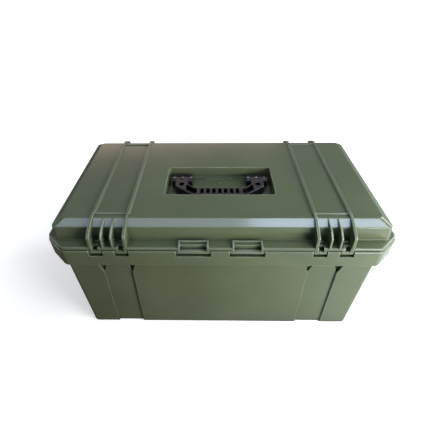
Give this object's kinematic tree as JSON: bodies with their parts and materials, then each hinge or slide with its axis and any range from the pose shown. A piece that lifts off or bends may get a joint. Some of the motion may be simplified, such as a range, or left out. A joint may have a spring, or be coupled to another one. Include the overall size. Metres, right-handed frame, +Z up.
{
  "type": "toolbox",
  "caption": "Large moulded toolbox with a hinged lid, fold-down handle in a lid pocket, snap latches on the far side and a lift-out tray.",
  "frame": {"origin": "middle of the foot, on the surface that the box stands on", "axes": "+X along the length, +Y from the hinge side to the latch side, +Z up"},
  "size_m": [0.5798, 0.3479, 0.269],
  "materials": {
    "green_plastic": "satin moulded, olive green",
    "handle_plastic": "satin moulded, black",
    "latch_plastic": "satin moulded, black",
    "tray_plastic": "fine moulded grain, black",
    "pin_steel": "drawn steel rod",
    "screw_zinc": "bright zinc plate"
  },
  "bodies": {
    "body": {"body_shell": "green_plastic", "tray": "tray_plastic", "hinge_pin_left": "pin_steel", "hinge_pin_right": "pin_steel", "hinge_pin_mid_left": "pin_steel", "hinge_pin_mid_right": "pin_steel"},
    "lid": {"lid_shell": "green_plastic", "handle_bracket_left": "handle_plastic", "handle_pin_left": "pin_steel", "bracket_screws_left": "screw_zinc", "bracket_nuts_left": "screw_zinc", "backing_plate_left": "screw_zinc", "latch_pin_left": "pin_steel", "handle_bracket_right": "handle_plastic", "handle_pin_right": "pin_steel", "bracket_screws_right": "screw_zinc", "bracket_nuts_right": "screw_zinc", "backing_plate_right": "screw_zinc", "latch_pin_right": "pin_steel"},
    "handle": {"handle": "handle_plastic"},
    "latch_left": {"latch_left": "latch_plastic"},
    "latch_right": {"latch_right": "latch_plastic"}
  },
  "joints": [
    {"name": "lid_hinge", "type": "hinge", "parent": "body", "child": "lid", "pos_m": [0, -0.169, 0.2217], "axis": [1, 0, 0], "range_deg": [0, 100]},
    {"name": "handle_fold", "type": "hinge", "parent": "lid", "child": "handle", "pos_m": [0, -0.005, 0.25425], "axis": [-1, 0, 0], "range_deg": [0, 90]},
    {"name": "latch_left_swing", "type": "hinge", "parent": "lid", "child": "latch_left", "pos_m": [-0.1803, 0.163, 0.246], "axis": [1, 0, 0], "range_deg": [0, 110]},
    {"name": "latch_right_swing", "type": "hinge", "parent": "lid", "child": "latch_right", "pos_m": [0.1803, 0.163, 0.246], "axis": [1, 0, 0], "range_deg": [0, 110]}
  ]
}
